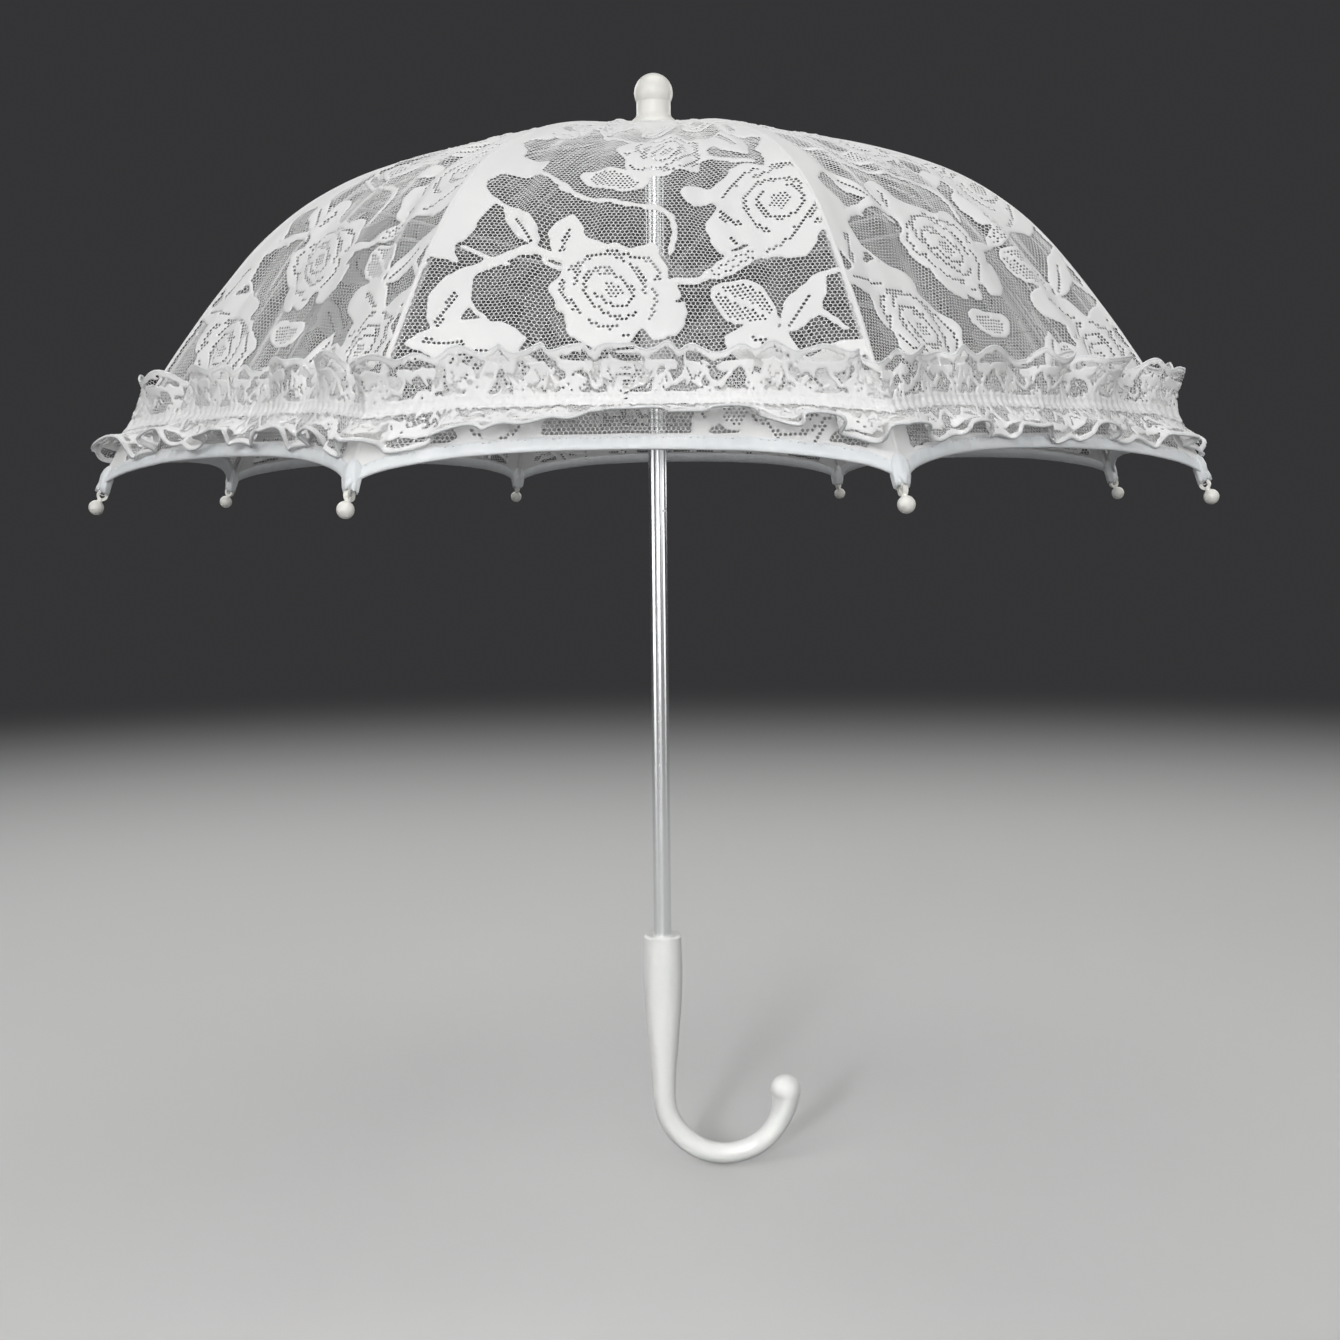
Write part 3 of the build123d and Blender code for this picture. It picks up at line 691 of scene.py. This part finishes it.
def trim_design(along, out):
    """Opening of each cell of the trim: close patches, airy patches full of squiggles, and sprigs."""
    patch = np.sin(along * 0.31 + 1.3 * np.sin(out * 0.25))
    patch = patch + np.sin(out * 0.45 + 1.1 * np.sin(along * 0.17))
    squiggle = np.sin(along * 2.1 + 1.7 * np.sin(out * 1.3))
    squiggle = squiggle + np.sin(out * 2.3 + 1.9 * np.sin(along * 1.1))
    airy = patch > -1.1
    hole = np.where(airy & (squiggle < 0.9), TRIM_HOLE, 0.0)
    hole[~airy & (squiggle < -1.3)] = DOT_HOLE
    cell = along - TRIM_REPEAT * np.round(along / TRIM_REPEAT)
    across = np.abs(out) - 10.0
    reach = np.hypot(cell, across * 1.1)
    petals = 4.8 * (1 + 0.22 * np.cos(5 * np.arctan2(across, cell)))
    hole[reach < petals] = 0
    hole[np.abs(reach - 2.7 - 0.4 * np.cos(3 * np.arctan2(across, cell))) < 0.6] = DOT_HOLE
    other = along + TRIM_REPEAT / 2
    sprig = other - TRIM_REPEAT * np.round(other / TRIM_REPEAT)
    hole[np.abs(across + 1.5 - 3.4 * np.cos(sprig * 0.4)) < 0.8] = 0
    leaf = np.hypot((np.abs(sprig) - 4.5) / 3.6, (across - 1.5) / 1.9)
    hole[leaf < 1] = 0
    hole[np.abs(out) < TRIM_BAND] = 0
    scallop = along - TRIM_SCALLOP * np.round(along / TRIM_SCALLOP)
    below_edge = TRIM_HALF - 0.9 * TRIM_BORDER - np.abs(out)
    ladder = np.hypot(scallop / 6.2, (below_edge - 2.4 - 0.03 * scallop ** 2) / 1.7)
    hole[(ladder < 1) & (np.mod(scallop + 0.8, 4.0) > 0.9)] = TRIM_EYELET
    hole[np.abs(out) > trim_edge(along) - TRIM_BORDER] = 0
    return hole


def trim_edge(along):
    """Flat reach of the trim's scalloped edge."""
    return TRIM_HALF - 1.3 + 1.3 * np.cos(2 * math.pi * along / TRIM_SCALLOP)


# Length of the stitched line across one gore, and of the trim gathered on to it.
GORE_RUN = 2 * float(half_width(RIB_LENGTH - 50)) + 3.0
GORE_TRIM = GORE_RUN * TRIM_FULLNESS


def ruffle_lace(number, material):
    """The trim over one strip, from one gore's middle to the next."""
    start = (number - 0.5) * GORE_TRIM
    centres = hexagon_centres(start, start + GORE_TRIM, -TRIM_HALF, TRIM_HALF, TRIM_PITCH)
    along, out = centres[:, 0], centres[:, 1]
    mine = (along >= start) & (along < start + GORE_TRIM) & (np.abs(out) < trim_edge(along))
    centres = centres[mine]
    hole = trim_design(centres[:, 0], centres[:, 1])
    flat, height, quads, triangles = net(centres, hole, TRIM_PITCH)
    points = ruffle_spot(flat[:, 0] / GORE_TRIM, flat[:, 1])
    nearby = ruffle_spot((flat[:, 0] + 0.4) / GORE_TRIM, flat[:, 1])
    below = ruffle_spot(flat[:, 0] / GORE_TRIM, flat[:, 1] + 0.4)
    normal = np.cross(below - points, nearby - points)
    normal /= np.linalg.norm(normal, axis=-1, keepdims=True) + 1e-9
    points = points + normal * height[:, None]
    frill = new_piece(f"frill_{number}", points, [quads, triangles], material)
    return frill, thread_area(hole, TRIM_PITCH)


def tube_along(path, radius, sides=5):
    """Round cord along points, as points and faces."""
    path = np.asarray(path)
    ahead = np.gradient(path, axis=0)
    ahead /= np.linalg.norm(ahead, axis=1, keepdims=True) + 1e-9
    up = np.cross(ahead, np.array([0.0, 0.0, 1.0]))
    up /= np.linalg.norm(up, axis=1, keepdims=True) + 1e-9
    over = np.cross(up, ahead)
    angle = 2 * math.pi * np.arange(sides) / sides
    radius = np.broadcast_to(radius, (len(path),))
    ring = up[:, None] * np.cos(angle)[None, :, None] + over[:, None] * np.sin(angle)[None, :, None]
    points = path[:, None] + ring * radius[:, None, None]
    caps = [np.arange(sides)[None, ::-1], (len(path) - 1) * sides + np.arange(sides)[None]]
    return points.reshape(-1, 3), [grid_faces(len(path), sides, closed=True)] + caps


def ruffle_cords(number, material):
    """Corded edges of both flounces and the gathering cord on the stitched line."""
    start = (number - 0.5) * GORE_TRIM
    along = np.arange(start, start + GORE_TRIM + 0.5, 1.1)
    along[-1] = start + GORE_TRIM
    edge = trim_edge(along)
    parts = []
    for reach, radius in ((-edge, 0.55), (edge, 0.6)):
        parts.append(tube_along(ruffle_spot(along / GORE_TRIM, reach), radius))
    bead = 0.4 + 0.12 * np.sin(along * 2.1)
    for row in (-CORD_ROW, CORD_ROW):
        parts.append(tube_along(ruffle_spot(along / GORE_TRIM, np.full_like(along, row)), bead))
    points, faces = joined(parts)
    return new_piece(f"frill_cords_{number}", points, faces, material)


# ---- thread at the tips ------------------------------------------------------------------------
# Turns of the thread through a tip's eye: length along the rib, half height, and shift to one side.
TIE_TURNS = ((3.6, 1.9, 0.0), (4.4, 2.1, 0.35), (2.9, 1.8, -0.4))


def tip_thread(number, material):
    """Sewing thread through the eye of a tip and round the corner of the canopy."""
    eye = RIB_LENGTH + BALL_PAST_END - EYE_BEHIND_BALL
    radius, height, slope = (float(value) for value in rib_at(np.array(eye)))
    ahead = np.array([math.cos(slope), math.sin(slope)])
    out = np.array([-math.sin(slope), math.cos(slope)])
    parts = []
    for turn, (back, wide, lean) in enumerate(TIE_TURNS):
        angle = np.linspace(0, 2 * math.pi, 25)
        along = -back / 2 + back / 2 * np.cos(angle)
        lift = 0.4 + wide * np.sin(angle)
        side = lean + 0.5 * np.sin(angle + turn)
        plane = np.array([radius, height])[None] + along[:, None] * ahead + lift[:, None] * out
        path = np.stack([plane[:, 0], side, plane[:, 1]], -1)
        parts.append(tube_along(path, 0.24, 6))
    points, faces = joined(parts)
    return new_piece(f"tip_thread_{number}", turned(points, rib_azimuth(number)), faces, material)


# Rings of the cuff: place past the rib's end, radius, and height over the rib.
CUFF_RINGS = (
    (-9.0, 1.2, 2.9), (-7.0, 2.5, 2.6), (-4.5, 3.1, 2.2), (-2.0, 3.0, 1.7),
    (0.2, 2.7, 1.1), (1.6, 2.4, 0.6), (1.7, 1.75, 0.5), (0.4, 1.65, 0.6),
)
CUFF_SIDES = 30


def tip_cuff(number, material):
    """The canopy's corner wrapped and bunched round the sleeve of a tip."""
    angle = 2 * math.pi * np.arange(CUFF_SIDES) / CUFF_SIDES
    rows = []
    for index, (past, size, rise) in enumerate(CUFF_RINGS):
        radius, height, slope = (float(value) for value in rib_at(np.array(RIB_LENGTH + past)))
        ragged = 0.35 * np.sin(9 * angle + number) * (index in (4, 5, 6))
        pleat = 1 + 0.07 * np.sin(7 * angle + 0.6 * index) + 0.04 * np.sin(12 * angle + number)
        side = 1.15 * size * pleat * np.cos(angle)
        lift = rise - 0.9 + 0.85 * size * pleat * np.sin(angle)
        x = radius - math.sin(slope) * lift + math.cos(slope) * ragged
        z = height + math.cos(slope) * lift + math.sin(slope) * ragged
        rows.append(np.stack([x, side, z], -1))
    points = turned(np.concatenate(rows), rib_azimuth(number))
    faces = [grid_faces(len(CUFF_RINGS), CUFF_SIDES, closed=True)]
    return new_piece(f"tip_cuff_{number}", points, faces, material)


# ---- materials ---------------------------------------------------------------------------------
class Recipe:
    """A node material built step by step round one Principled shader."""

    def __init__(self, name, roughness, metallic=0.0, specular=0.5):
        self.material = bpy.data.materials.new(name)
        self.material.use_nodes = True
        self.nodes = self.material.node_tree.nodes
        self.links = self.material.node_tree.links
        self.shader = self.nodes["Principled BSDF"]
        self.shader.inputs["Roughness"].default_value = roughness
        self.shader.inputs["Metallic"].default_value = metallic
        self.shader.inputs["Specular IOR Level"].default_value = specular
        self.place = self.nodes.new("ShaderNodeTexCoord").outputs["Object"]

    def noise(self, scale, detail=3.0, stretch=(1, 1, 1)):
        """Mottling that stays with the object."""
        mapping = self.nodes.new("ShaderNodeMapping")
        mapping.inputs["Scale"].default_value = stretch
        self.links.new(self.place, mapping.inputs["Vector"])
        node = self.nodes.new("ShaderNodeTexNoise")
        node.inputs["Scale"].default_value = scale
        node.inputs["Detail"].default_value = detail
        self.links.new(mapping.outputs["Vector"], node.inputs["Vector"])
        return node.outputs["Fac"]

    def waves(self, scale, direction, distortion=0.0):
        """Regular ribs across one direction."""
        node = self.nodes.new("ShaderNodeTexWave")
        node.bands_direction = direction
        node.inputs["Scale"].default_value = scale
        node.inputs["Distortion"].default_value = distortion
        self.links.new(self.place, node.inputs["Vector"])
        return node.outputs["Fac"]

    def ramp(self, value, *stops):
        """Colours from a value, by position and colour."""
        node = self.nodes.new("ShaderNodeValToRGB")
        elements = node.color_ramp.elements
        while len(elements) < len(stops):
            elements.new(0.5)
        for element, (position, colour) in zip(elements, stops):
            element.position = position
            element.color = tuple(colour) + (1,)
        self.links.new(value, node.inputs["Fac"])
        return node.outputs["Color"]

    def between(self, value, low, high):
        """A value from 0 to 1 brought between two limits."""
        node = self.nodes.new("ShaderNodeMapRange")
        node.inputs["To Min"].default_value = low
        node.inputs["To Max"].default_value = high
        self.links.new(value, node.inputs["Value"])
        return node.outputs["Result"]

    def multiplied(self, first, second):
        """Product of two values."""
        node = self.nodes.new("ShaderNodeMath")
        node.operation = "MULTIPLY"
        self.links.new(first, node.inputs[0])
        self.links.new(second, node.inputs[1])
        return node.outputs[0]

    def colour(self, output):
        self.links.new(output, self.shader.inputs["Base Color"])

    def roughness(self, output):
        self.links.new(output, self.shader.inputs["Roughness"])

    def bump(self, height, distance, strength=1.0):
        """Fine relief; distance is its depth in metres."""
        node = self.nodes.new("ShaderNodeBump")
        node.inputs["Distance"].default_value = distance
        node.inputs["Strength"].default_value = strength
        self.links.new(height, node.inputs["Height"])
        self.links.new(node.outputs["Normal"], self.shader.inputs["Normal"])


def lace_material():
    """White cotton net: matt, its tone mottled at random a touch darker and cooler, with the twist of the
    threads.
    """
    recipe = Recipe("lace_cotton", 0.82, specular=0.25)
    tone = recipe.noise(26, 3)
    recipe.colour(recipe.ramp(tone, (0.3, (0.84, 0.84, 0.835)), (0.7, (0.90, 0.895, 0.885))))
    twist = recipe.noise(2600, 2)
    recipe.bump(twist, 0.00012, 0.6)
    recipe.shader.inputs["Sheen Weight"].default_value = 0.15
    recipe.shader.inputs["Sheen Roughness"].default_value = 0.5
    return recipe.material


def trim_material():
    """Softer, brighter gathered lace with raised floss."""
    recipe = Recipe("lace_trim_cotton", 0.78, specular=0.3)
    tone = recipe.noise(60, 3)
    recipe.colour(recipe.ramp(tone, (0.3, (0.84, 0.84, 0.84)), (0.7, (0.91, 0.905, 0.895))))
    floss = recipe.noise(1900, 3)
    recipe.bump(floss, 0.00018, 0.7)
    recipe.shader.inputs["Sheen Weight"].default_value = 0.2
    recipe.shader.inputs["Sheen Roughness"].default_value = 0.4
    return recipe.material


def satin_material():
    """Satin tape: smooth, faintly glossy, finely ribbed across."""
    recipe = Recipe("satin_tape", 0.45, specular=0.45)
    tone = recipe.noise(40, 2)
    recipe.colour(recipe.ramp(tone, (0.3, (0.82, 0.85, 0.87)), (0.7, (0.88, 0.90, 0.91))))
    weave = recipe.multiplied(recipe.waves(700, "X", 0.6), recipe.waves(700, "Z", 0.6))
    recipe.bump(weave, 0.00006, 0.5)
    recipe.shader.inputs["Sheen Weight"].default_value = 0.25
    recipe.shader.inputs["Sheen Roughness"].default_value = 0.3
    return recipe.material


def thread_material():
    """Twisted white sewing thread."""
    recipe = Recipe("sewing_thread", 0.6, specular=0.35)
    tone = recipe.noise(900, 2)
    recipe.colour(recipe.ramp(tone, (0.3, (0.78, 0.79, 0.80)), (0.7, (0.9, 0.9, 0.9))))
    recipe.bump(recipe.waves(2200, "Z", 2.0), 0.00005, 0.6)
    return recipe.material


def chrome_material():
    """Chromed tube with faint lengthwise polishing lines and finger haze."""
    recipe = Recipe("chromed_tube", 0.2, metallic=1.0)
    recipe.shader.inputs["Base Color"].default_value = (0.78, 0.79, 0.80, 1)
    haze = recipe.noise(14, 4, (1, 1, 0.4))
    recipe.roughness(recipe.between(haze, 0.14, 0.28))
    lines = recipe.noise(900, 2, (1, 1, 0.02))
    recipe.bump(lines, 0.00001, 0.25)
    return recipe.material


def plastic_material(name, dark, light, roughness, grain):
    """Moulded plastic: slight mottling, soft gloss and a fine orange peel."""
    recipe = Recipe(name, roughness, specular=0.5)
    recipe.colour(recipe.ramp(recipe.noise(30, 3), (0.3, dark), (0.7, light)))
    worn = recipe.noise(180, 4)
    recipe.roughness(recipe.between(worn, roughness - 0.06, roughness + 0.1))
    recipe.bump(recipe.noise(grain, 2), 0.000015, 0.12)
    return recipe.material


def steel_material(name, colour, roughness, metallic):
    """Drawn steel or enamelled steel with faint drawing lines."""
    recipe = Recipe(name, roughness, metallic=metallic)
    dark = tuple(0.86 * part for part in colour)
    recipe.colour(recipe.ramp(recipe.noise(120, 3), (0.3, dark), (0.7, colour)))
    recipe.roughness(recipe.between(recipe.noise(260, 3), roughness - 0.06, roughness + 0.12))
    recipe.bump(recipe.noise(700, 2), 0.00002, 0.4)
    return recipe.material


def dress(node, material):
    """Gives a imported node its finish."""
    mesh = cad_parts[node].data
    mesh.materials.clear()
    mesh.materials.append(material)


def dress_frame():
    """Gives every rigid part its own finish."""
    chrome = chrome_material()
    handle = plastic_material("crook_satin_plastic", (0.80, 0.81, 0.79), (0.86, 0.865, 0.84), 0.32, 900)
    ivory = plastic_material("ivory_tip_plastic", (0.86, 0.85, 0.79), (0.91, 0.90, 0.85), 0.34, 900)
    white = plastic_material("white_runner_plastic", (0.78, 0.79, 0.79), (0.86, 0.86, 0.86), 0.4, 1100)
    steel = steel_material("bright_steel", (0.62, 0.62, 0.63), 0.28, 1.0)
    enamel = steel_material("white_enamelled_steel", (0.82, 0.82, 0.82), 0.35, 0.0)
    finishes = {
        "shaft_tube": chrome, "crook_handle": handle, "ferrule": ivory, "crown_nave": white,
        "runner": white, "top_washer": white, "crown_wire": steel, "runner_wire": steel,
        "catch_pin": steel, "top_catch": steel,
    }
    for number in range(1, RIB_COUNT + 1):
        finishes[f"rib_{number}"] = enamel
        finishes[f"stretcher_{number}"] = enamel
        finishes[f"rivet_{number}"] = steel
        finishes[f"tip_{number}"] = ivory
    for node, material in finishes.items():
        dress(node, material)


# ---- the cloth pieces --------------------------------------------------------------------------
def clothe(number, designs, cloth):
    """All soft pieces over one rib, riding on it."""
    lace, trim, satin, thread = cloth
    strip = lace_strip(number, designs, lace)
    tape = hem_tape(number, satin)
    stitches = stitch_row(number, thread)
    seam = rib_seam(number, lace)
    flounce, flounce_area = ruffle_lace(number, trim)
    cords = ruffle_cords(number, thread)
    tie = tip_thread(number, thread)
    cuff = tip_cuff(number, satin)
    body = f"rib_body_{number}"
    for piece in (strip, tape, stitches, seam, flounce, cords, tie, cuff):
        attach(piece, body)
    for piece in (strip, tape, stitches, flounce, cords):
        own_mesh(piece)
    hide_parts(f"canopy_{number}")
    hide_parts(f"ruffle_{number}")
    strip_width = 2 * float(half_width(RIB_LENGTH)) * MM


# ---- stage -------------------------------------------------------------------------------------
SENSOR = 36.0
LENS = 49.256
CAMERA_AT = (5.3, -823.5, 243.2)
CAMERA_DOWN = math.radians(5.935)
CAMERA_ROLL = math.radians(-0.595)
CAMERA_YAW = math.radians(-0.046)
WORLD_GREY = (0.035, 0.035, 0.037)
FLOOR_PALE = (0.72, 0.72, 0.71)
FLOOR_RADIUS = 9.0
FLOOR_GAP = 0.001
# Painted falloff of light: between these distances from its centre the floor's lit colour gives way to a
# glow at the room's grey.
PAINTED_FALLOFF_START, PAINTED_FALLOFF_END = 0.45, 2.1
CANOPY_MIDDLE = (0, 0, 0.25)
UNDER_CROOK = (0.02, 0, -0.08)


def camera():
    """Camera a little above the hem, level with the canopy's middle and turned slightly down."""
    down, yaw, roll = CAMERA_DOWN, CAMERA_YAW, CAMERA_ROLL
    ahead = Vector((math.sin(yaw) * math.cos(down), math.cos(yaw) * math.cos(down), -math.sin(down)))
    level = Vector((math.cos(yaw), -math.sin(yaw), 0))
    upright = level.cross(ahead)
    right = level * math.cos(roll) + upright * math.sin(roll)
    up = upright * math.cos(roll) - level * math.sin(roll)
    lens = bpy.data.cameras.new("camera")
    lens.sensor_width = SENSOR
    lens.lens = LENS
    lens.clip_start = 0.01
    eye = bpy.data.objects.new("camera", lens)
    turn = Matrix((right, up, -ahead)).transposed().to_4x4()
    eye.matrix_world = Matrix.Translation(Vector(CAMERA_AT) * MM) @ turn
    bpy.context.scene.collection.objects.link(eye)
    bpy.context.scene.camera = eye


def soft_light(name, place, size, power, lights_cloth=True, aim=CANOPY_MIDDLE, spread=180):
    """Square softbox; with lights_cloth off it only shows in glossy surfaces, as a reflector would."""
    lamp = bpy.data.lights.new(name, "AREA")
    lamp.size = size
    lamp.energy = power
    lit = bpy.data.objects.new(name, lamp)
    lit.visible_camera = False
    lit.visible_diffuse = lights_cloth
    lit.location = place
    lamp.spread = math.radians(spread)
    lit.rotation_euler = (Vector(aim) - Vector(place)).to_track_quat("-Z", "Y").to_euler()
    bpy.context.scene.collection.objects.link(lit)


def floor():
    """Pale floor under the crook whose colour gives way with distance to a painted dark glow at the grey of
    the room: a painted falloff of light away from the parasol.
    """
    bpy.ops.mesh.primitive_circle_add(vertices=96, radius=FLOOR_RADIUS, fill_type="NGON")
    ground = bpy.context.object
    ground.name = "floor"
    ground.location = (0, 0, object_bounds()[0][2] - FLOOR_GAP)
    ground.visible_diffuse = False
    recipe = Recipe("floor_paper_painted_falloff", 0.9, specular=0.2)
    recipe.shader.inputs["Base Color"].default_value = FLOOR_PALE + (1,)
    spread = recipe.nodes.new("ShaderNodeVectorMath")
    spread.operation = "LENGTH"
    recipe.links.new(recipe.place, spread.inputs[0])
    painted_falloff = recipe.nodes.new("ShaderNodeMapRange")
    painted_falloff.interpolation_type = "SMOOTHERSTEP"
    painted_falloff.inputs["From Min"].default_value = PAINTED_FALLOFF_START
    painted_falloff.inputs["From Max"].default_value = PAINTED_FALLOFF_END
    recipe.links.new(spread.outputs["Value"], painted_falloff.inputs["Value"])
    # Painted dark glow: far out the floor emits the room's grey whatever the lamps do, standing in for
    # light that has fallen off.
    far = recipe.nodes.new("ShaderNodeEmission")
    far.inputs["Color"].default_value = WORLD_GREY + (1,)
    blend = recipe.nodes.new("ShaderNodeMixShader")
    recipe.links.new(painted_falloff.outputs["Result"], blend.inputs["Fac"])
    recipe.links.new(recipe.shader.outputs["BSDF"], blend.inputs[1])
    recipe.links.new(far.outputs["Emission"], blend.inputs[2])
    output = recipe.nodes["Material Output"]
    recipe.links.new(blend.outputs["Shader"], output.inputs["Surface"])
    ground.data.materials.append(recipe.material)
    ground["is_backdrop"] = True


def room():
    """Plain grey surroundings and soft studio light."""
    world = bpy.data.worlds.new("room")
    bpy.context.scene.world = world
    world.use_nodes = True
    shade = world.node_tree.nodes["Background"]
    shade.inputs["Color"].default_value = WORLD_GREY + (1,)
    shade.inputs["Strength"].default_value = 1.0
    bpy.context.scene.view_settings.view_transform = "Standard"
    soft_light("key", (-1.1, -1.5, 1.25), 1.1, 13)
    soft_light("fill", (1.35, -1.35, 0.75), 1.2, 8.5)
    soft_light("top", (0.0, -0.1, 1.9), 1.3, 9.5)
    soft_light("front", (-0.3, -2.3, 1.0), 1.2, 13)
    soft_light("low_fill", (0.2, -2.4, 0.35), 1.0, 6)
    soft_light("grip", (-0.5, -1.7, 0.5), 0.25, 0.2, aim=UNDER_CROOK, spread=20)
    soft_light("low_front", (-0.3, -2.4, 0.35), 2.0, 14, lights_cloth=False)
    soft_light("left", (-1.7, -0.7, 0.3), 1.1, 12, lights_cloth=False)
    soft_light("right", (1.8, -0.5, 0.3), 0.7, 4, lights_cloth=False)
    soft_light("back_left", (-1.3, 1.6, 1.0), 1.2, 12)
    soft_light("back_right", (1.4, 1.5, 0.8), 1.2, 10)


# ---- build -------------------------------------------------------------------------------------
camera()
room()
floor()
dress_frame()
cloth = (lace_material(), trim_material(), satin_material(), thread_material())
front_cut, front_area = gore_net(0.0)
next_cut, next_area = gore_net(NEXT_CUT_SHIFT)
for number in range(1, RIB_COUNT + 1):
    clothe(number, (front_cut, next_cut), cloth)
